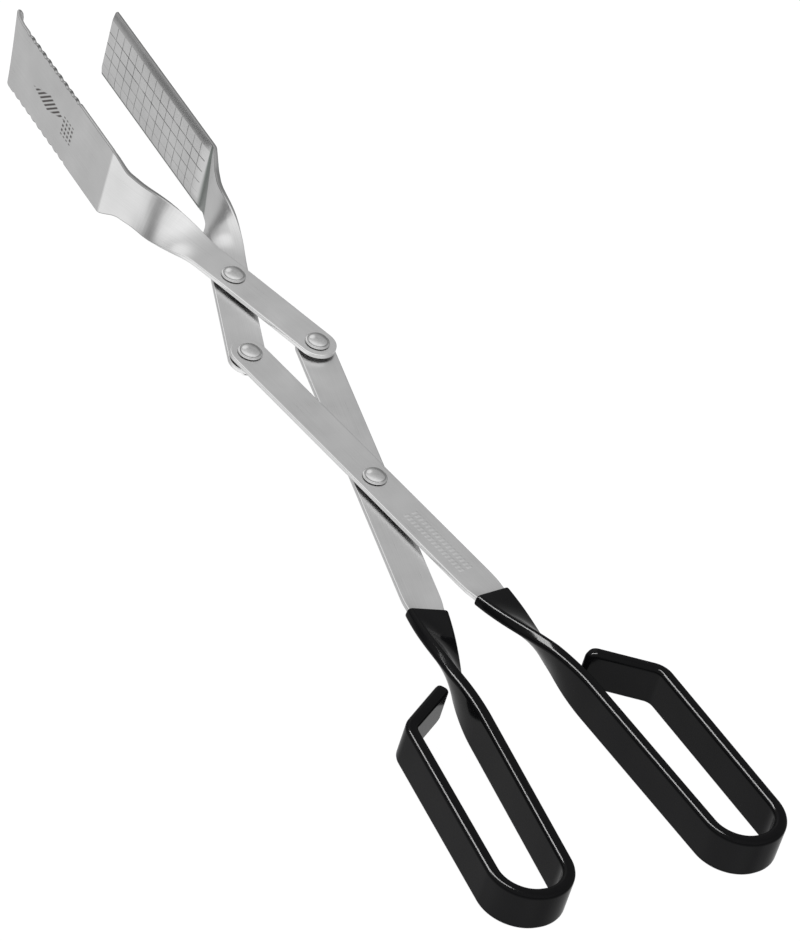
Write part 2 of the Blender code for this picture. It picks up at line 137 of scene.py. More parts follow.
# Meshes: rounding of cut edges, and how far apart the sections stand
EDGE_ROUNDING = 0.4 * MM
SUPPORT = 0.15 * MM
LONGEST_BEND_PIECE = 4.0 * MM
HANDLE_STEPS = {"twist": 1.2 * MM, "straight": 6.0 * MM}
JAW_STEPS = {"twist": 0.7 * MM, "straight": 4.0 * MM, "lip": 0.35 * MM}
SECTIONS_PER_SCALLOP = 12
SHARP_ANGLE = math.radians(38)
PLACE = "strip_place"

# Finishes
BUMP_DEPTH = 0.02 * MM
STEEL_ROUGHNESS = 0.30
# Painted highlight: the cut edges of all steel are coloured brighter than the faces
EDGE_HIGHLIGHT_GAIN = 1.08
STAMPED_RUN = (22.0 * MM, 58.0 * MM)
STAMPED_ROWS = (2.4 * MM, -1.6 * MM)
STAMPED_DASH = {"pitch": 2.1 * MM, "length": 1.1 * MM, "height": 2.3 * MM}
HATCH_BEHIND_FRONT = 34.0 * MM
HATCH_HALF = (15.5 * MM, 4.2 * MM)
HATCH_PITCH = 3.1 * MM
DOTS_BEHIND_FRONT = 52.5 * MM
DOTS_HALF_LENGTH = 5.2 * MM
DOTS_ACROSS = (-5.5 * MM, 3.3 * MM)
DOTS_PITCH = (2.6 * MM, 2.2 * MM)
SCORE_WIDTH = 0.32 * MM
SCORES_LENGTHWAYS = ((-6.0, 1.0), (-0.6, 1.0), (4.9, 0.7), (9.8, 0.4))
SCALLOP_SHADOW = (0.17, 0.17, 0.17, 1.0)
ETCHED_BROWN = (0.06, 0.048, 0.045, 1.0)
FOLD_SHADOW = (0.13, 0.155, 0.14, 1.0)
HEM_SHADOW = (0.07, 0.085, 0.075, 1.0)
SCORE_GREY = (0.06, 0.06, 0.06, 1.0)

# Stage: the camera's place from the main pivot, and each part of the surround as its low and
# high direction and the level at both
CAMERA_LENS = 224.79
CAMERA_RIGHT = Vector((0.85227, -0.46321, 0.24307))
CAMERA_UP = Vector((0.14562, 0.65637, 0.74025))
CAMERA_PLACE = Vector((-1.133761, -1.356946, 1.432171))
FLOOR_RADIUS = 30.0
FLOOR_STRENGTH = 1.06
SURROUND_BELOW = (0.0, 0.55, 0.60, 1.10)
SURROUND_ABOVE = (-0.76, 0.4, 0.57, 1.15)
SURROUND_FAR_RIGHT = (-1.0, -0.8, 0.35, 0.0)
SURROUND_HIGH_PATCH = (0.95, 0.99, 0.0, 0.55)
SURROUND_HORIZON = 0.28


def smooth(value, start, end):
    """Ease from 0 to 1 as value runs from start to end."""
    u = min(max((value - start) / (end - start), 0.0), 1.0)
    return u * u * (3.0 - 2.0 * u)


def corner_arc(before, corner, after, radius, step_deg=3.0):
    """Points of the arc that rounds one corner of a flat polyline."""
    back = (before - corner).normalized()
    ahead = (after - corner).normalized()
    half = back.angle(ahead) / 2
    start = corner + back * (radius / math.tan(half))
    centre = corner + (back + ahead).normalized() * (radius / math.sin(half))
    sweep = math.pi - 2 * half
    turn = math.copysign(sweep, -back.cross(ahead).z)
    steps = max(3, math.ceil(sweep / math.radians(step_deg)))
    return [centre + Matrix.Rotation(turn * i / steps, 3, "Z") @ (start - centre)
            for i in range(steps + 1)]


class Track:
    """A flat centreline in millimetre corners, rounded, and sampled by distance in metres."""

    def __init__(self, corners, radii):
        points = [Vector((x * MM, y * MM, 0.0)) for x, y in corners]
        self.points = [points[0]]
        for i, radius in enumerate(radii, start=1):
            self.points += corner_arc(points[i - 1], points[i], points[i + 1], radius * MM)
        self.points.append(points[-1])
        self.marks = [0.0]
        for a, b in zip(self.points, self.points[1:]):
            self.marks.append(self.marks[-1] + (b - a).length)
        self.length = self.marks[-1]

    def segment(self, i):
        """Unit heading of one straight piece of the track."""
        return (self.points[i + 1] - self.points[i]).normalized()

    def at(self, distance):
        """Point and heading at a distance along the track.

        The heading turns evenly through a bend and eases over the ends of a straight piece.
        """
        i = 0
        while i < len(self.marks) - 2 and self.marks[i + 1] < distance:
            i += 1
        span = self.marks[i + 1] - self.marks[i]
        share = (distance - self.marks[i]) / span
        point = self.points[i].lerp(self.points[i + 1], share)
        other = i + 1 if share > 0.5 else i - 1
        straight = span > LONGEST_BEND_PIECE
        if other < 0 or other > len(self.points) - 2 or straight and 0.1 < share < 0.9:
            return point, self.segment(i)
        reach = abs(share - 0.5) * 5 - 2 if straight else abs(share - 0.5)
        return point, self.segment(i).lerp(self.segment(other), reach).normalized()


def steel_outline(width, thickness, set_back=0.0, flange=None, rounding=EDGE_ROUNDING):
    """Section of a flat strip as (across, through, edge) triples, with rounded edges.

    A set-back drops the middle of the strip below its long edges. Edge is 1 on the cut sides,
    0 on the upper face and -1 on the lower face.
    """
    half = width / 2
    r = min(rounding, thickness * 0.45, half * 0.6)
    face = [half - r - min(SUPPORT, half * 0.1), 0.0]
    if flange:
        face[1:1] = [half - flange + FLANGE_FOLD, half - flange - FLANGE_FOLD]
    else:
        face[1:1] = [half * 0.5]
    face += [-a for a in reversed(face[:-1])]

    def drop(a):
        if not flange:
            return 0.0
        return set_back * min(max((half - abs(a)) / flange, 0.0), 1.0)

    outline = []
    for side in (1, -1):
        under = -1.0 if side > 0 else 0.0
        outline += [(-side * a, -side * thickness / 2 - drop(a), under) for a in face]
        for quarter in (0, 1):
            cx = side * (half - r)
            cy = side * (thickness / 2 - r) * (1 if quarter else -1)
            start = 90 * quarter - 90 * side
            for i in range(4):
                angle = math.radians(start + 30 * i)
                outline.append((cx + r * math.cos(angle), cy + r * math.sin(angle), 1.0))
    return outline


def coat_outline(width, thickness, radius, steps=6):
    """Section of the dipped coat as (across, through, edge) triples."""
    radius = min(radius, thickness / 2 * 0.98, width / 2 * 0.98)
    outline = []
    for corner, (sx, sy) in enumerate(((1, -1), (1, 1), (-1, 1), (-1, -1))):
        cx, cy = sx * (width / 2 - radius), sy * (thickness / 2 - radius)
        for i in range(steps + 1):
            angle = math.radians(-90 + 90 * corner + 90 * i / steps)
            outline.append((cx + radius * math.cos(angle), cy + radius * math.sin(angle), 1.0))
        if corner in (1, 3):
            inner = width / 2 - radius - min(SUPPORT * 2, width * 0.05)
            outline += [(f * sx * inner, sy * thickness / 2, 0.0) for f in (1, 0.5, 0, -0.5, -1)]
    return outline


def place_ring(track, distance, twist, lift, outline, lean=Vector((0.0, 0.0, 0.0))):
    """One section stood on the track, as (point, place) pairs. Its right-hand edge rises.

    A lean carries the raised edge along that vector, for each unit of height.
    """
    point, heading = track.at(distance)
    right = Vector((heading.y, -heading.x, 0.0))
    up = Vector((0.0, 0.0, 1.0))
    across = right * math.cos(twist) + up * math.sin(twist)
    through = up * math.cos(twist) - right * math.sin(twist)
    centre = point + up * (lift + LAYER_GAP / 2)
    across += lean
    return [(centre + across * a + through * t, (distance, a, edge)) for a, t, edge in outline]


def wall(bm, a, b):
    """Join two loops of vertices with quads."""
    for i in range(len(a)):
        j = (i + 1) % len(a)
        bm.faces.new((a[i], a[j], b[j], b[i]))


def skin(bm, rings, layer):
    """Add the vertices and walls of a run of rings and return their vertices."""
    loops = []
    for ring in rings:
        loop = []
        for point, place in ring:
            vert = bm.verts.new(point)
            vert[layer] = Vector(place)
            loop.append(vert)
        loops.append(loop)
    for a, b in zip(loops, loops[1:]):
        wall(bm, a, b)
    return loops


def loft(rings, inner=None):
    """Closed body through rings. With inner rings it is a sleeve, open where both begin."""
    bm = bmesh.new()
    layer = bm.verts.layers.float_vector.new(PLACE)
    outer = skin(bm, rings, layer)
    bm.faces.new(outer[-1])
    if inner is None:
        bm.faces.new(outer[0])
    else:
        lining = skin(bm, inner, layer)
        bm.faces.new(lining[-1])
        wall(bm, outer[0], lining[0])
    bmesh.ops.recalc_face_normals(bm, faces=bm.faces)
    return bm


def to_scene(name, bm):
    """Turn a bmesh into an object of the scene."""
    mesh = bpy.data.meshes.new(name)
    bm.to_mesh(mesh)
    bm.free()
    made = bpy.data.objects.new(name, mesh)
    bpy.context.scene.collection.objects.link(made)
    return made


def new_piece(name, bm, body, node, finish, move):
    """Make a piece from a bmesh, move it into the frame, tie it to its body and hide the imported
    node it stands for.
    """
    piece = to_scene(name, bm)
    mesh = piece.data
    mesh.transform(move)
    mesh.shade_smooth()
    mesh.set_sharp_from_angle(angle=SHARP_ANGLE)
    mesh.materials.append(finish)
    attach(piece, body)
    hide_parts(node)
    return piece


def drilled(bm, holes, origin):
    """The drawn strip with round holes cut square through its flat arm.

    Origin is how far along the strip its drawing origin lies.
    """
    strip = to_scene("undrilled strip", bm)
    drills = []
    for x, radius in holes:
        bit = bmesh.new()
        bmesh.ops.create_cone(bit, cap_ends=True, segments=HOLE_SIDES, radius1=radius,
                              radius2=radius, depth=DRILL_LENGTH,
                              matrix=Matrix.Translation((x, 0.0, 0.0)))
        drill = to_scene("drill", bit)
        cut = strip.modifiers.new("hole", "BOOLEAN")
        cut.operation = "DIFFERENCE"
        cut.solver = "EXACT"
        cut.object = drill
        drills.append(drill)
    graph = bpy.context.evaluated_depsgraph_get()
    done = bmesh.new()
    done.from_mesh(strip.evaluated_get(graph).to_mesh())
    for obj in drills + [strip]:
        bpy.data.objects.remove(obj, do_unlink=True)
    layer = done.verts.layers.float_vector[PLACE]
    for vert in done.verts:
        near = min((Vector((x, 0.0)) - vert.co.xy).length - radius for x, radius in holes)
        if abs(near) < RIM_TOLERANCE:
            vert[layer] = Vector((vert.co.x + origin, -vert.co.y, 0.0))
    return done


def ordered(marks, start, end, gap=0.12 * MM):
    """Marks sorted and thinned between two distances, both ends kept."""
    kept = [start]
    for mark in sorted(m for m in marks if start + gap < m < end - gap):
        if mark - kept[-1] > gap:
            kept.append(mark)
    return kept + [end]


def stepped(start, end, step):
    """Even marks from start to end, about one step apart."""
    count = max(1, round((end - start) / step))
    return [start + (end - start) * i / count for i in range(count + 1)]


def end_marks(width, count=18):
    """Marks that follow the half-disc start of a strip evenly."""
    return [width / 2 * (1 - math.cos(math.pi / 2 * (i + 0.35) / count)) for i in range(count)]


def round_end(mark, width):
    """Share of its full width that a strip has near its half-disc start."""
    reach = max(width / 2 - mark, 0.0) / (width / 2)
    return max(math.sqrt(max(1 - reach * reach, 0.0)), 0.05)


def rounded_loss(left, reach):
    """Share lost to a quarter-round corner, from 1 at the very end to 0 at its reach."""
    gone = 1 - min(left / reach, 1.0)
    return 1 - math.sqrt(max(1 - gone ** 2, 0.0))


class Handle:
    """One handle drawn about the main pivot, with its arm along +X."""

    def __init__(self, side, sizes):
        self.side = side
        self.sizes = sizes
        start = -HANDLE_LINK / MM - sizes.bar_width / MM / 2
        self.track = Track([(start, 0.0)] + LOOP_CORNERS, LOOP_RADII)
        self.pivot = HANDLE_LINK + sizes.bar_width / 2
        turn = Matrix.Rotation(HANDLE_HALF_ANGLE - math.pi / 2, 4, "Z")
        if side == "rear":
            turn = Matrix.Rotation(math.pi, 4, "Y") @ turn
        self.move = Matrix.Translation(MAIN_PIVOT) @ turn

    def ring(self, mark, outline):
        """A section at its own twist and height."""
        turned = smooth(mark - self.pivot, *HANDLE_TWIST)
        lift = self.sizes.bar_thickness / 2 + LOOP_LIFT[self.side] * turned
        return place_ring(self.track, mark, math.pi / 2 * turned, lift, outline)

    def marks(self):
        """Where the sections stand: closer where the strip twists or bends."""
        twist = stepped(self.pivot + HANDLE_TWIST[0], self.pivot + HANDLE_TWIST[1],
                        HANDLE_STEPS["twist"])
        bends = [m for a, b in zip(self.track.marks, self.track.marks[1:])
                 if b - a < LONGEST_BEND_PIECE for m in (a, b)]
        return twist + bends + stepped(0.0, self.track.length, HANDLE_STEPS["straight"])

    def strip(self):
        """The bare steel strip, drilled for its two rivets."""
        sizes = self.sizes
        end = self.track.length - STRIP_SHORT_OF_TIP
        taper = [self.pivot + COAT_START - before for before in NARROWS_BEFORE_COAT]
        starts = end_marks(sizes.bar_width)
        rings = []
        for mark in ordered(starts + taper + self.marks(), starts[0], end):
            width = sizes.bar_width
            width += (COATED_STRIP_WIDTH - width) * smooth(mark, *taper)
            width *= round_end(mark, sizes.bar_width)
            rings.append(self.ring(mark, steel_outline(width, sizes.bar_thickness)))
        holes = [(0.0, HOLE_RADIUS), (-HANDLE_LINK, HOLE_RADIUS)]
        return drilled(loft(rings), holes, self.pivot)

    def coat(self):
        """The dipped coat: a sleeve open at its mouth, closed and rounded over the tip."""
        sizes = self.sizes
        start = self.pivot + COAT_START
        width, thickness = sizes.coat_width, sizes.coat_thickness
        tip = thickness / 2
        end = self.track.length
        closing = [end - reach * (1 - math.sin(math.pi / 2 * i / 12))
                   for reach in (tip, COAT_CORNER) for i in range(12)]
        opening = [start + COAT_MOUTH * f for f in (0.1, 0.25, 0.5, 0.75, 1.0)]
        outer = []
        for mark in ordered(closing + opening + self.marks(), start, end, 0.02 * MM):
            lip = 2 * COAT_MOUTH * rounded_loss(mark - start, COAT_MOUTH)
            w = width - 2 * COAT_CORNER * rounded_loss(end - mark, COAT_CORNER) - lip
            t = max(thickness * (1 - rounded_loss(end - mark, tip)), 0.3 * MM) - lip
            outer.append(self.ring(mark, coat_outline(w, t, sizes.coat_rounding)))
        hollow = (COATED_STRIP_WIDTH + 2 * COAT_FIT, sizes.bar_thickness + 2 * COAT_FIT)
        marks = ordered(self.marks(), start, end - STRIP_SHORT_OF_TIP + COAT_FIT)
        inner = [self.ring(mark, coat_outline(*hollow, COAT_LINING_ROUNDING)) for mark in marks]
        return loft(outer, inner)


class Jaw:
    """One jaw drawn about its link pivot, with its arm along +X."""

    def __init__(self, side, sizes):
        self.side = side
        self.sizes = sizes
        corners = [(-sizes.bar_width / MM / 2, 0.0), (JAW_LINK / MM, 0.0), BLADE_REAR]
        radii = [60.0, sizes.crease_radius / MM]
        run = (Vector(BLADE_FRONT) - Vector(BLADE_REAR)).normalized()
        self.run = run.to_3d()
        corners.append(BLADE_FRONT)
        if side == "front":
            bend = Vector(BLADE_FRONT) + run * LIP_FORWARD
            corners[-1:] = [tuple(bend), tuple(bend + Vector((run.y, -run.x)) * LIP_INWARD)]
            radii.append(LIP_RADIUS)
        self.track = Track(corners, radii)
        self.pivot = JAW_LINK + sizes.bar_width / 2
        self.rear = self.pivot + (Vector(BLADE_REAR) - Vector((JAW_LINK / MM, 0.0))).length * MM
        self.front = self.rear + (Vector(BLADE_FRONT) - Vector(BLADE_REAR)).length * MM
        turn = Matrix.Rotation(math.pi / 2 + JAW_HALF_ANGLE, 4, "Z")
        link = RIGHT_LINK
        if side == "rear":
            turn = Matrix.Rotation(math.pi, 4, "Y") @ turn
            link = LEFT_LINK
        self.move = Matrix.Translation(link) @ turn

    def scallop(self, mark):
        """Loss of blade height from the scallops along its edges."""
        run = self.front - self.sizes.scallop_setback - mark
        if run < 0.0 or run > self.sizes.scallop_pitch * self.sizes.scallop_count:
            return 0.0
        wave = abs(math.sin(math.pi * run / self.sizes.scallop_pitch))
        return 2 * self.sizes.scallop_depth * (1 - wave)

    def section(self, mark):
        """Width, thickness and height of the strip at a mark."""
        from_pivot = mark - self.pivot
        growth = smooth(from_pivot, *BLADE_FLARE)
        bar, blade = self.sizes.bar_width, self.sizes.blade_height
        width = bar + (NECK_HEIGHT - bar) * smooth(from_pivot, *NECK_FLARE)
        width += (blade - NECK_HEIGHT) * growth
        thickness = self.sizes.bar_thickness
        thickness += (BLADE_THICKNESS - thickness) * growth
        along = min(max((mark - self.rear) / (self.front - self.rear), 0.0), 1.0)
        low, high = BLADE_LIFT[self.side]
        lift = low * smooth(from_pivot, JAW_TWIST[0], self.rear - self.pivot)
        lift += (high - low) * along + self.sizes.bar_thickness / 2
        if self.side == "front":
            lift += LIP_RISE * smooth(mark, self.front, self.front + LIP_FORWARD * MM)
            width -= self.scallop(mark)
            width -= 2 * LIP_CORNER * rounded_loss(self.track.length - mark, LIP_CORNER)
        return width * round_end(mark, bar), thickness, lift

    def cut_below(self, mark):
        """How much of the lower edge is rounded away towards the lip."""
        if self.side == "rear":
            return 0.0
        start, end = self.front - LOWER_CORNER_REACH, self.front + LIP_FORWARD * MM
        return LOWER_CORNER * min(max((mark - start) / (end - start), 0.0), 1.0) ** 2

    def lean(self, mark):
        """How far a section leans along the blade, for each unit of height."""
        if self.side == "front":
            return self.run * LIP_LEAN * smooth(mark, self.front, self.front + LIP_FORWARD * MM)
        return self.run * REAR_BLADE_SLANT * smooth(mark, self.rear - 10 * MM, self.rear)

    def marks(self):
        """Where the sections stand: closer where the strip twists, bends or is scalloped."""
        marks = end_marks(self.sizes.bar_width) + self.track.marks
        marks += stepped(self.pivot + JAW_TWIST[0], self.rear + FLANGE_BEGINS[1],
                         JAW_STEPS["twist"])
        marks += stepped(0.0, self.track.length, JAW_STEPS["straight"])
        if self.side == "front":
            first = self.front - self.sizes.scallop_setback
            last = first - self.sizes.scallop_pitch * self.sizes.scallop_count
            marks += stepped(last, first, self.sizes.scallop_pitch / SECTIONS_PER_SCALLOP)
            marks += stepped(self.front, self.track.length, JAW_STEPS["lip"])
        return marks

    def strip(self):
        """The steel strip of the jaw, drilled for its two rivets."""
        short = REAR_BLADE_SHORT if self.side == "rear" else 0.0
        starts = end_marks(self.sizes.bar_width)
        rings = []
        for mark in ordered(self.marks(), starts[0], self.track.length - short):
            width, thickness, lift = self.section(mark)
            twist = math.pi / 2 * smooth(mark - self.pivot, *JAW_TWIST)
            flange = FLANGE_WIDTH if self.side == "rear" else None
            set_back = FLANGE_SET * smooth(mark, *(self.rear + at for at in FLANGE_BEGINS))
            cut = self.cut_below(mark)
            outline = [(a + cut / 2, t, edge) for a, t, edge in
                       steel_outline(width - cut, thickness, set_back, flange)]
            rings.append(place_ring(self.track, mark, twist, lift, outline, self.lean(mark)))
        crossing = HOLE_RADIUS if self.side == "front" else OPEN_HOLE_RADIUS
        holes = [(0.0, HOLE_RADIUS), (JAW_LINK, crossing)]
        return drilled(loft(rings), holes, self.sizes.bar_width / 2)


def turned(profile, closed, steps=64):
    """Body turned about Z from (radius, height) pairs, from top to bottom."""
    bm = bmesh.new()
    layer = bm.verts.layers.float_vector.new(PLACE)
    columns = []
    for radius, height in profile:
        if radius < 0.001 * MM:
            vert = bm.verts.new((0.0, 0.0, height))
            vert[layer] = Vector((0.0, 0.0, height))
            columns.append([vert] * steps)
            continue
        ring = []
        for i in range(steps):
            angle = math.tau * i / steps
            vert = bm.verts.new((radius * math.cos(angle), radius * math.sin(angle), height))
            vert[layer] = Vector((radius, 0.0, height))
            ring.append(vert)
        columns.append(ring)
    pairs = list(zip(columns, columns[1:])) + ([(columns[-1], columns[0])] if closed else [])
    for a, b in pairs:
        for i in range(steps):
            j = (i + 1) % steps
            corners = list(dict.fromkeys((a[i], b[i], b[j], a[j])))
            bm.faces.new(corners)
    bmesh.ops.recalc_face_normals(bm, faces=bm.faces)
    return bm


def rounded_profile(corners, radius, steps=3):
    """(radius, height) corners with each inner corner rounded a little."""
    points = [Vector(c) for c in corners]
    profile = [points[0]]
    for a, b, c in zip(points, points[1:], points[2:]):
        reach = min(radius, (b - a).length * 0.45, (c - b).length * 0.45)
        start, end = b + (a - b).normalized() * reach, b + (c - b).normalized() * reach
        for i in range(steps + 1):
            u = i / steps
            profile.append(start * (1 - u) ** 2 + b * 2 * u * (1 - u) + end * u * u)
    return [tuple(p) for p in profile + [points[-1]]]


# ---------------------------------------------------------------- finishes

class Value:
    """A number worked out by shader nodes. Arithmetic on it adds Math nodes."""

    def __init__(self, graph, socket):
        self.graph, self.socket = graph, socket

    def __add__(self, other):
        return self.graph.math("ADD", self, other)

    __radd__ = __add__

    def __mul__(self, other):
        return self.graph.math("MULTIPLY", self, other)

    __rmul__ = __mul__

    def __sub__(self, other):
        return self.graph.math("SUBTRACT", self, other)

    def __rsub__(self, other):
        return self.graph.math("SUBTRACT", other, self)

    def __truediv__(self, other):
        return self.graph.math("DIVIDE", self, other)

    def __rtruediv__(self, other):
        return self.graph.math("DIVIDE", other, self)

    def __gt__(self, other):
        return self.graph.math("GREATER_THAN", self, other)

    def __lt__(self, other):
        return self.graph.math("LESS_THAN", self, other)

    def __abs__(self):
        return self.graph.math("ABSOLUTE", self)


class Graph:
    """Builds a node tree from expressions."""

    def __init__(self, tree):
        self.tree = tree

    def node(self, kind, settings=None, inputs=None, output=0):
        """Add a node: its settings first, then the values or links of its sockets."""
        node = self.tree.nodes.new(kind)
        for key, value in (settings or {}).items():
            setattr(node, key, value)
        for key, value in (inputs or {}).items():
            self.plug(node.inputs[key], value)
        return Value(self, node.outputs[output])

    def plug(self, socket, value):
        """Link a worked-out value to a socket, or set a plain one."""
        if isinstance(value, Value):
            self.tree.links.new(value.socket, socket)
        else:
            socket.default_value = value

    def math(self, operation, *values):
        """A Math node on up to three values."""
        return self.node("ShaderNodeMath", {"operation": operation}, dict(enumerate(values)))

    def ramp(self, value, low, high, start=0.0, end=1.0):
        """Ease from start to end as value goes from low to high."""
        settings = {"interpolation_type": "SMOOTHSTEP"}
        inputs = {"Value": value, "From Min": low, "From Max": high,
                  "To Min": start, "To Max": end}
        return self.node("ShaderNodeMapRange", settings, inputs)

    def colour(self, share, low, high):
        """Mix of two colours."""
        settings = {"data_type": "RGBA"}
        return self.node("ShaderNodeMix", settings, {0: share, 6: low, 7: high}, 2)

    def vector(self, x, y, z):
        """A vector from three values."""
        return self.node("ShaderNodeCombineXYZ", None, {0: x, 1: y, 2: z})

    def noise(self, where, scale, detail=2.0, roughness=0.5):
        """Noise from 0 to 1 at a place."""
        inputs = {"Vector": where, "Scale": scale, "Detail": detail, "Roughness": roughness}
        return self.node("ShaderNodeTexNoise", None, inputs)

    def parts(self, vector):
        """The three numbers of a vector."""
        node = self.tree.nodes.new("ShaderNodeSeparateXYZ")
        self.plug(node.inputs[0], vector)
        return [Value(self, out) for out in node.outputs]

    def line(self, value, at, width, soft=0.4):
        """A stripe of 1 where value is near a given place, with soft sides."""
        return self.ramp(abs(value - at), width * (1 - soft) / 2, width * (1 + soft) / 2, 1, 0)

    def inside(self, value, low, high, soft):
        """1 between low and high, 0 outside, over a soft border."""
        return (self.ramp(value, low - soft, low + soft)
                * self.ramp(value, high - soft, high + soft, 1, 0))


class Finish(Graph):
    """A Principled material, with the place on the strip ready to use."""

    def __init__(self, name, constants):
        self.material = bpy.data.materials.new(name)
        self.material.use_nodes = True
        super().__init__(self.material.node_tree)
        self.shader = self.tree.nodes["Principled BSDF"]
        for key, value in constants.items():
            self.shader.inputs[key].default_value = value
        place = self.node("ShaderNodeAttribute", {"attribute_name": PLACE}, output="Vector")
        self.along, self.across, edge = self.parts(place)
        self.upper = edge > -0.5
        self.edge = self.math("MAXIMUM", edge, 0.0)

    def feed(self, colour, roughness, height, depth, strength):
        """Connect what varies over the surface."""
        self.plug(self.shader.inputs["Base Color"], colour)
        self.plug(self.shader.inputs["Roughness"], roughness)
        bump = self.node("ShaderNodeBump", None,
                         {"Strength": strength, "Distance": depth, "Height": height})
        self.plug(self.shader.inputs["Normal"], bump)
        return self.material


def rgba(colour, gain=1.0):
    """A property colour as four numbers."""
    return tuple(min(c * gain, 1.0) for c in colour[:3]) + (1.0,)


def grain(finish):
    """Fine rolling grain along the strip, and a broad faint cloud."""
    fine = finish.noise(finish.vector(finish.along * 30.0, finish.across * 2400.0,
                                      finish.edge), 1.0, 3.0, 0.6)
    cloud = finish.noise(finish.vector(finish.along, finish.across, finish.edge * 0.01),
                         55.0, 2.0)
    return fine, cloud


def steel(name, colour):
    """Satin strip steel: faint grain, broad clouding and a painted highlight on the cut edges.

    Returns the finish, its shade and roughness so far, and the grain.
    """
    finish = Finish(name, {"Metallic": 1.0})
    fine, cloud = grain(finish)
    tone = fine - 0.5 + (cloud - 0.5) * 1.4 + 0.5
    face = finish.colour(tone, rgba(colour, 0.90), rgba(colour, 1.10))
    # Painted highlight: brighter base colour on the cut edges
    shade = finish.colour(finish.edge, face, rgba(colour, EDGE_HIGHLIGHT_GAIN))
    rough = STEEL_ROUGHNESS + (fine - 0.5) * 0.10 + (cloud - 0.5) * 0.08
    return finish, shade, rough, fine


def stamped_dashes(finish, pivot):
    """Two rows of short plain dashes on the upper face, 1 on a dash."""
    start, end = (pivot + at for at in STAMPED_RUN)
    pitch = STAMPED_DASH["pitch"]
    share = STAMPED_DASH["length"] / pitch
    step = finish.math("FRACT", (finish.along - start) / pitch)
    dashes = (finish.inside(finish.along, start, end, 0.1 * MM)
              * finish.inside(step, 0.5 - share / 2, 0.5 + share / 2, 0.05))
    upper_row, lower_row = (finish.line(finish.across, row, STAMPED_DASH["height"])
                            for row in STAMPED_ROWS)
    return dashes * (upper_row + lower_row) * finish.upper


def bar_finish(name, sizes, stamped):
    """Handle bar steel, with two rows of stamped dashes on the front one."""
    finish, shade, rough, fine = steel(name, sizes.steel_colour)
    height = fine
    if stamped:
        dashes = stamped_dashes(finish, HANDLE_LINK + sizes.bar_width / 2)
        shade = finish.colour(dashes * 0.45, shade, rgba(sizes.steel_colour, 1.3))
        height = fine + dashes * 8.0
    return finish.feed(shade, rough, height, BUMP_DEPTH, 0.5)


def shade_jaw_edges(finish, sizes, jaw, shade):
    """Painted shade: the cut edges of a jaw are darkened from the twist to the front of the blade.
    """
    # Painted shade on the jaw's cut edges
    edge_shade = finish.edge * finish.ramp(finish.along, jaw.pivot + 34 * MM, jaw.pivot + 52 * MM)
    return finish.colour(edge_shade, shade, rgba(sizes.blade_colour, 0.45))


def scalloped_finish(name, sizes, jaw):
    """Front jaw steel: painted shade on the cut edges and in dashes along the scallops, an etched
    mark and a painted dark reflection streaked over the twist.
    """
    finish, shade, rough, fine = steel(name, sizes.blade_colour)
    shade = shade_jaw_edges(finish, sizes, jaw, shade)
    # Painted shade: over the blade the cut edges take a darker tone of their own
    blade = finish.edge * finish.ramp(finish.along, jaw.rear - 3 * MM, jaw.rear + 3 * MM)
    shade = finish.colour(blade, shade, rgba(sizes.blade_colour, 0.7))
    # Painted shade: dark dashes on the cut edge in the hollow of each scallop
    last = jaw.front - sizes.scallop_setback
    step = finish.math("FRACT", (last - finish.along) / sizes.scallop_pitch)
    first = last - sizes.scallop_pitch * sizes.scallop_count
    dash = finish.inside(step, 0.5, 0.8, 0.08) * finish.inside(finish.along, first, last, 0.1 * MM)
    shade = finish.colour(blade * dash, shade, SCALLOP_SHADOW)
    etched = etched_hatch(finish, jaw) * finish.upper
    shade = finish.colour(etched * 0.9, shade, ETCHED_BROWN)
    # Painted dark reflection: noisy streaks darken the steel over the twist of the neck
    streak = finish.noise(finish.vector(finish.along * 900, finish.across * 60, 0.0), 1.0, 2.0)
    twist_reflection_zone = finish.inside(finish.along, jaw.pivot + 36 * MM, jaw.pivot + 50 * MM, 7 * MM)
    shade = finish.colour(twist_reflection_zone * streak * 0.5, shade, rgba(sizes.blade_colour, 0.45))
    return finish.feed(shade, rough + etched * 0.2, fine - etched, BUMP_DEPTH, 0.5)


def etched_hatch(finish, jaw):
    """A generic etched mark: a slanted spindle of hatching and a small block of dots."""
    def stripes(value, pitch):
        """Even soft stripes, 1 on the middle half of each pitch."""
        return finish.inside(finish.math("FRACT", value / pitch), 0.25, 0.75, 0.12)

    along = finish.along - (jaw.front - HATCH_BEHIND_FRONT)
    slope = finish.across + along * 0.10
    half_length, half_height = HATCH_HALF
    spindle = finish.ramp(abs(along) / half_length + abs(slope) / half_height, 0.8, 1.0, 1, 0)
    hatch = spindle * stripes(along + slope * 1.4, HATCH_PITCH)
    block = finish.along - (jaw.front - DOTS_BEHIND_FRONT)
    dots = (stripes(block, DOTS_PITCH[0]) * stripes(finish.across, DOTS_PITCH[1])
            * finish.inside(block, -DOTS_HALF_LENGTH, DOTS_HALF_LENGTH, 0.2 * MM)
            * finish.inside(finish.across, *DOTS_ACROSS, 0.2 * MM))
    return finish.math("MAXIMUM", hatch, dots)


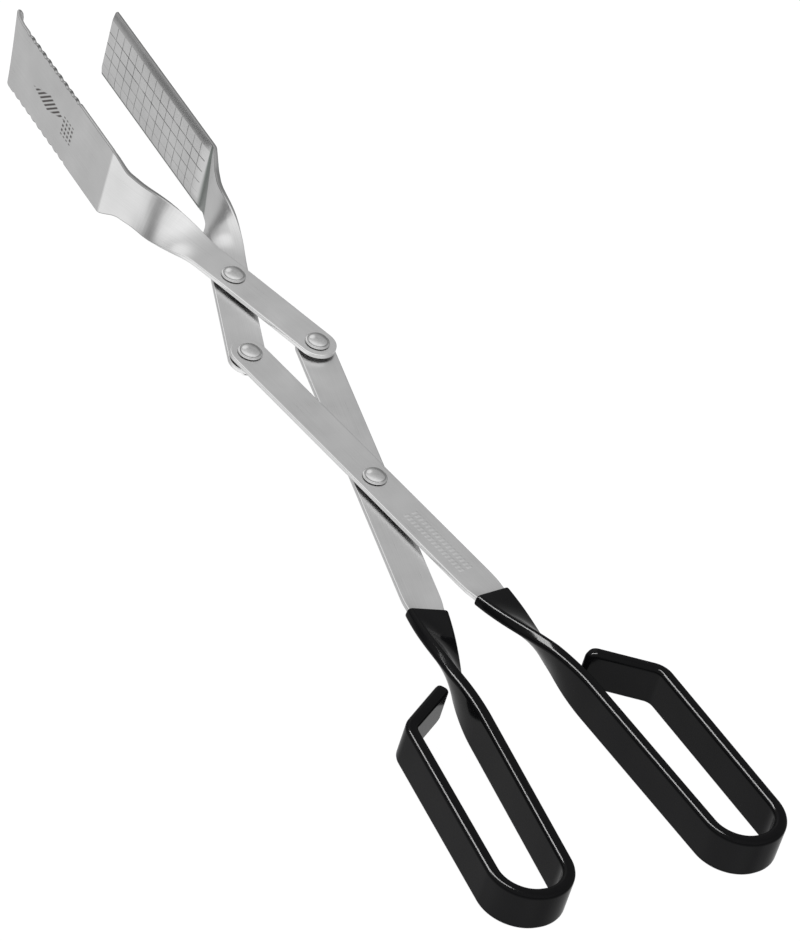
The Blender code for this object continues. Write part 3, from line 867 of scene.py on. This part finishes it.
def flanged_finish(name, sizes, jaw):
    """Rear jaw steel: scored grid on the blade, painted shade along the fold and the hem, and a
    painted shadow in the crease.
    """
    finish, shade, rough, fine = steel(name, sizes.blade_colour)
    shade = shade_jaw_edges(finish, sizes, jaw, shade)
    start = jaw.rear + 5.0 * MM
    end = jaw.front - REAR_BLADE_SHORT - 4.0 * MM
    pitch = sizes.score_pitch
    cross = finish.math("FRACT", (finish.along - start) / pitch)
    half = sizes.blade_height / 2
    low, high = -half + FLANGE_WIDTH, half - 1.5 * MM
    crossing = (finish.line(cross, 0.5, SCORE_WIDTH / pitch, 0.7)
                * finish.inside(finish.along, start, end, 0.2 * MM)
                * finish.inside(finish.across, low, high, 0.3 * MM))
    lengthways = None
    for at, weight in SCORES_LENGTHWAYS:
        score = (finish.line(finish.across, at * MM, SCORE_WIDTH, 0.7) * weight
                 * finish.ramp(finish.along, jaw.rear + 3 * MM, jaw.rear + 4 * MM))
        lengthways = score if lengthways is None else finish.math("MAXIMUM", lengthways, score)
    wear = finish.noise(finish.vector(finish.along * 160, finish.across * 160, 0.0), 1.0, 2.0)
    inner = 1 - finish.upper
    score = finish.math("MAXIMUM", crossing, lengthways) * inner
    score = score * finish.ramp(wear, 0.25, 0.6, 0.35, 1)
    # Painted shade along the fold line of the lower flange
    band = (finish.ramp(finish.across, low - 0.2 * MM, low + 0.2 * MM, 1, 0)
            * finish.ramp(finish.along, jaw.rear - 4 * MM, jaw.rear + 6 * MM) * inner)
    # Painted shade along the upper hem near the back of the blade
    hem = (finish.ramp(finish.across, high, half - 1.0 * MM)
           * finish.ramp(finish.along, jaw.rear - 2 * MM, jaw.rear + 2 * MM))
    shade = finish.colour(band * 0.55, shade, rgba(sizes.blade_colour, 0.55))
    # Painted shadow: a dark triangle in the crease behind the blade, widening across it
    reach = finish.ramp(finish.across, -half, half, 1.5 * MM, 15.0 * MM)
    behind = jaw.rear + 1.5 * MM - finish.along
    fold = finish.inside(behind / reach, 0.0, 1.0, 0.12) * inner
    shade = finish.colour(fold * 0.85, shade, FOLD_SHADOW)
    shade = finish.colour(hem * 0.8, shade, HEM_SHADOW)
    shade = finish.colour(score * 0.9, shade, SCORE_GREY)
    return finish.feed(shade, rough + score * 0.2, fine - score * 8, BUMP_DEPTH, 0.5)


def turned_finish(name, colour, roughness):
    """Upset rivet or stamped washer steel: faint turning rings and small dents."""
    finish = Finish(name, {"Metallic": 1.0})
    rings = finish.noise(finish.vector(finish.along * 1500, finish.edge * 1500, 0.0), 1.0, 2.0)
    spot = finish.noise(finish.node("ShaderNodeTexCoord", output="Object"), 900.0, 2.0)
    shade = finish.colour((rings - 0.5) * 0.3 + spot, rgba(colour, 0.85), rgba(colour, 1.15))
    rough = roughness + (spot - 0.5) * 0.14
    return finish.feed(shade, rough, rings * 0.4 + spot, 0.03 * MM, 0.35)


def vinyl_finish(name, colour):
    """Black dipped vinyl: deep gloss with a slight sag and fine dust."""
    finish = Finish(name, {"Metallic": 0.0, "Specular IOR Level": 0.05,
                           "Coat Roughness": 0.08})
    where = finish.node("ShaderNodeTexCoord", output="Object")
    sag = finish.noise(where, 45.0, 1.5)
    dust = finish.noise(where, 2600.0, 2.0)
    shade = finish.colour(dust, rgba(colour, 0.7), rgba(colour, 1.5))
    rough = 0.13 + (sag - 0.5) * 0.04 + (dust - 0.5) * 0.02
    finish.plug(finish.shader.inputs["Coat Weight"], (1 - finish.edge) * (sag * 0.10 + 0.04))
    return finish.feed(shade, rough, sag, 0.05 * MM, 0.3)


# ---------------------------------------------------------------- settings

def length(name, description, default_mm):
    """A distance property given in millimetres."""
    return FloatProperty(name=name, description=description, default=default_mm * MM,
                         min=0.0, subtype="DISTANCE", unit="LENGTH", precision=4)


def colour(name, description, default):
    """A colour property."""
    return FloatVectorProperty(name=name, description=description, default=default,
                               size=3, min=0.0, max=1.0, subtype="COLOR")


class TONGS_PG_sizes(bpy.types.PropertyGroup):
    """Sizes and colours that a user would change."""

    bar_width: length("Bar width", "Width of the flat strip", 16.0)
    bar_thickness: length("Bar thickness", "Thickness of the flat strip", 2.0)
    coat_width: length("Coat width", "Height of the dipped loops", 17.4)
    coat_thickness: length("Coat thickness", "Thickness of a dipped strap", 5.0)
    coat_rounding: length("Coat rounding", "Radius along the edges of the coat", 1.7)
    blade_height: length("Blade height", "Height of both blades", 31.8)
    crease_radius: length("Crease radius", "Radius of the fold behind each blade", 3.2)
    scallop_pitch: length("Scallop pitch", "Length of one scallop", 5.4)
    scallop_depth: length("Scallop depth", "Depth of one scallop", 0.7)
    scallop_setback: length("Scallop set-back", "From the blade's front to a scallop", 6.5)
    scallop_count: IntProperty(name="Scallops", description="Scallops on each long edge",
                               default=9, min=0, max=20)
    score_pitch: length("Score pitch", "Spacing of the lines scored across the blade", 5.7)
    steel_colour: colour("Bar steel", "Colour of the bars", (0.70, 0.70, 0.70))
    blade_colour: colour("Blade steel", "Colour of the jaws", (0.72, 0.72, 0.72))
    rivet_colour: colour("Rivet steel", "Colour of the rivets", (0.60, 0.60, 0.60))
    washer_colour: colour("Washer steel", "Colour of the washers", (0.42, 0.42, 0.42))
    vinyl_colour: colour("Vinyl", "Colour of the dipped coat", (0.004, 0.004, 0.0044))
    floor_glow: FloatProperty(name="Floor glow", description="Evenness of the pale floor",
                              default=0.9, min=0.0, max=1.0, subtype="FACTOR")


# ---------------------------------------------------------------- operators

class BuildStep:
    """What the building operators share."""

    bl_options = {"REGISTER", "UNDO"}

    @property
    def sizes(self):
        """The scene's own sizes and colours."""
        return bpy.context.scene.tongs_sizes


class TONGS_OT_handle_bars(BuildStep, bpy.types.Operator):
    """Build the two flat handle bars"""

    bl_idname = "tongs.handle_bars"
    bl_label = "Handle bars"

    def execute(self, context):
        for side in ("front", "rear"):
            handle = Handle(side, self.sizes)
            finish = bar_finish(f"{side} handle steel", self.sizes, side == "front")
            new_piece(f"{side}_bar_strip", handle.strip(), f"{side}_handle",
                      f"{side}_handle_bar", finish, handle.move)
        return {"FINISHED"}


class TONGS_OT_dipped_grips(BuildStep, bpy.types.Operator):
    """Build the dipped coat of each finger loop"""

    bl_idname = "tongs.dipped_grips"
    bl_label = "Dipped grips"

    def execute(self, context):
        finish = vinyl_finish("dipped vinyl", self.sizes.vinyl_colour)
        dipped = bpy.data.collections.new("Dipped grips")
        context.scene.collection.children.link(dipped)
        for side in ("front", "rear"):
            handle = Handle(side, self.sizes)
            coat = new_piece(f"{side}_dipped_coat", handle.coat(), f"{side}_handle",
                             f"{side}_handle_dipped_grip", finish,
                             handle.move)
            dipped.objects.link(coat)
        return {"FINISHED"}


class TONGS_OT_front_jaw(BuildStep, bpy.types.Operator):
    """Build the front jaw with its scallops and inturned lip"""

    bl_idname = "tongs.front_jaw"
    bl_label = "Scalloped jaw"

    def execute(self, context):
        jaw = Jaw("front", self.sizes)
        finish = scalloped_finish("scalloped jaw steel", self.sizes, jaw)
        new_piece("scalloped_jaw_strip", jaw.strip(), "front_jaw", "front_scalloped_jaw",
                  finish, jaw.move)
        return {"FINISHED"}


class TONGS_OT_rear_jaw(BuildStep, bpy.types.Operator):
    """Build the rear jaw with its folded edges and scored grid"""

    bl_idname = "tongs.rear_jaw"
    bl_label = "Flanged jaw"

    def execute(self, context):
        jaw = Jaw("rear", self.sizes)
        finish = flanged_finish("flanged jaw steel", self.sizes, jaw)
        new_piece("flanged_jaw_strip", jaw.strip(), "rear_jaw", "rear_flanged_jaw",
                  finish, jaw.move)
        return {"FINISHED"}


PIVOTS = {
    "main_pivot": (MAIN_PIVOT, "rear_handle"),
    "left_link": (LEFT_LINK, "front_handle"),
    "right_link": (RIGHT_LINK, "rear_handle"),
    "jaw_crossing": (CROSSING, "front_jaw"),
}


class TONGS_OT_rivets(BuildStep, bpy.types.Operator):
    """Build a domed rivet at each pivot"""

    bl_idname = "tongs.rivets"
    bl_label = "Rivets"

    def profile(self):
        """Half-section of a rivet: dome, brim, shank and clinched tail."""
        seat = LAYER_GAP / 2 + self.sizes.bar_thickness + RIVET_CLEARANCE
        brim = seat + BRIM_HEIGHT
        dome = [(0.0, brim + DOME_HEIGHT)]
        for degrees in range(6, 85, 6):
            angle = math.radians(degrees)
            dome.append((DOME_RADIUS * math.sin(angle), brim + DOME_HEIGHT * math.cos(angle)))
        below = [dome[-1]] + [(radius, brim + height) for radius, height in BRIM]
        below += [(BRIM_RADIUS, seat), (SHANK_RADIUS, seat), (SHANK_RADIUS, -seat),
                  (TAIL_RADIUS, -seat)]
        below += [(radius, -seat + height) for radius, height in TAIL]
        return dome + rounded_profile(below, RIVET_ROUNDING)[1:]

    def execute(self, context):
        finish = turned_finish("rivet steel", self.sizes.rivet_colour, 0.17)
        for label, (pivot, body) in PIVOTS.items():
            new_piece(f"{label}_domed_rivet", turned(self.profile(), False), body,
                      f"{label}_rivet", finish, Matrix.Translation(pivot))
        return {"FINISHED"}


class TONGS_OT_washers(BuildStep, bpy.types.Operator):
    """Build the spacer washer between the bars at each pivot"""

    bl_idname = "tongs.washers"
    bl_label = "Spacer washers"

    def execute(self, context):
        finish = turned_finish("washer steel", self.sizes.washer_colour, 0.42)
        high = WASHER_HALF_THICKNESS
        corners = [(WASHER_MIDDLE, high), (WASHER_OUTER, high), (WASHER_OUTER, -high),
                   (WASHER_INNER, -high), (WASHER_INNER, high), (WASHER_MIDDLE, high)]
        profile = rounded_profile(corners, WASHER_ROUNDING)[:-1]
        for label, (pivot, body) in PIVOTS.items():
            new_piece(f"{label}_flat_washer", turned(profile, True), body,
                      f"{label}_spacer_washer", finish,
                      Matrix.Translation(pivot))
        return {"FINISHED"}


class TONGS_OT_stage(BuildStep, bpy.types.Operator):
    """Make the camera, the pale floor and the soft light"""

    bl_idname = "tongs.stage"
    bl_label = "Stage"

    def camera(self, context):
        """Long lens from the left of the loops, looking down along the jaws."""
        data = bpy.data.cameras.new("Camera")
        data.sensor_width = 36.0
        data.lens = CAMERA_LENS
        cam = bpy.data.objects.new("Camera", data)
        back = CAMERA_RIGHT.cross(CAMERA_UP)
        turn = Matrix((CAMERA_RIGHT, CAMERA_UP, back)).transposed().to_4x4()
        cam.matrix_world = Matrix.Translation(MAIN_PIVOT + CAMERA_PLACE) @ turn
        context.scene.collection.objects.link(cam)
        context.scene.camera = cam

    def floor(self):
        """Large pale floor that glows evenly, with faint soft shadows."""
        bm = bmesh.new()
        bmesh.ops.create_circle(bm, cap_ends=True, segments=96, radius=FLOOR_RADIUS)
        floor = to_scene("floor", bm)
        floor.visible_glossy = False
        material = bpy.data.materials.new("pale floor")
        material.use_nodes = True
        graph = Graph(material.node_tree)
        output = graph.tree.nodes["Material Output"]
        glow = graph.node("ShaderNodeEmission", None,
                          {"Color": (1, 1, 1, 1), "Strength": FLOOR_STRENGTH})
        matt = graph.node("ShaderNodeBsdfDiffuse", None, {"Color": (0.9, 0.9, 0.9, 1)})
        mixed = graph.node("ShaderNodeMixShader", None,
                           {0: self.sizes.floor_glow, 1: matt, 2: glow})
        graph.plug(output.inputs["Surface"], mixed)
        floor.data.materials.append(material)

    def world(self, context):
        """Soft surround: pale below and above, a dim horizon, brighter to the left."""
        world = bpy.data.worlds.new("Studio")
        context.scene.world = world
        world.use_nodes = True
        graph = Graph(world.node_tree)
        background = graph.tree.nodes["Background"]
        x, y, z = graph.parts(graph.node("ShaderNodeTexCoord", output="Generated"))
        leftward = x * -0.8 - y * 0.6
        towards_patch = x * 0.11 + y * 0.81 + z * 0.58
        below = graph.ramp(leftward, *SURROUND_BELOW)
        above = graph.ramp(leftward, *SURROUND_ABOVE)
        above = above - graph.ramp(leftward, *SURROUND_FAR_RIGHT)
        above = above + graph.ramp(towards_patch, *SURROUND_HIGH_PATCH)
        upper = graph.ramp(z, -0.05, 0.35)
        lower = graph.ramp(z, -0.45, -0.12, 1.0, 0.0)
        horizon = SURROUND_HORIZON * (1 - upper) * (1 - lower)
        level = below * lower + above * upper + horizon
        seen = graph.node("ShaderNodeLightPath", output="Is Camera Ray")
        background.inputs["Color"].default_value = (1.0, 1.0, 1.0, 1.0)
        graph.plug(background.inputs["Strength"], level * (1 - seen) + seen)

    def lamp(self, context, name, where, size, power, only=None):
        """A soft lamp aimed at the main pivot. Kept to one collection, it only glints."""
        data = bpy.data.lights.new(name, "AREA")
        data.shape = "RECTANGLE"
        data.size, data.size_y = size
        data.energy = power
        lamp = bpy.data.objects.new(name, data)
        lamp.location = MAIN_PIVOT + Vector(where)
        lamp.rotation_mode = "QUATERNION"
        lamp.rotation_quaternion = Vector(where).to_track_quat("Z", "Y")
        context.scene.collection.objects.link(lamp)
        if only:
            lamp.light_linking.receiver_collection = bpy.data.collections[only]
        lamp.visible_diffuse = only is None
        lamp.visible_glossy = only is not None

    def execute(self, context):
        self.camera(context)
        self.floor()
        self.world(context)
        self.lamp(context, "Key", (-0.9, 0.3, 1.5), (1.8, 1.8), 5.0)
        self.lamp(context, "Edge light", (-0.4, 0.4, 1.1), (0.42, 1.2), 150.0, "Dipped grips")
        context.scene.view_settings.view_transform = "Standard"
        return {"FINISHED"}


STEPS = (TONGS_OT_handle_bars, TONGS_OT_dipped_grips, TONGS_OT_front_jaw, TONGS_OT_rear_jaw,
         TONGS_OT_rivets, TONGS_OT_washers, TONGS_OT_stage)


class TONGS_PT_builder(bpy.types.Panel):
    """Lists the sizes, the colours and the steps"""

    bl_label = "Lazy tongs"
    bl_idname = "TONGS_PT_builder"
    bl_space_type = "VIEW_3D"
    bl_region_type = "UI"
    bl_category = "Tongs"

    def draw(self, context):
        layout = self.layout
        sizes = context.scene.tongs_sizes
        for name in TONGS_PG_sizes.__annotations__:
            layout.prop(sizes, name)
        for step in STEPS:
            layout.operator(step.bl_idname)


CLASSES = (TONGS_PG_sizes,) + STEPS + (TONGS_PT_builder,)


def register():
    """Add the classes and the scene's settings."""
    for cls in CLASSES:
        bpy.utils.register_class(cls)
    bpy.types.Scene.tongs_sizes = PointerProperty(type=TONGS_PG_sizes)


def unregister():
    """Take them out again."""
    del bpy.types.Scene.tongs_sizes
    for cls in reversed(CLASSES):
        bpy.utils.unregister_class(cls)


def main():
    """Build every piece and the stage."""
    register()
    for step in STEPS:
        getattr(bpy.ops.tongs, step.bl_idname.partition(".")[2])()


if __name__ == "__main__":
    main()
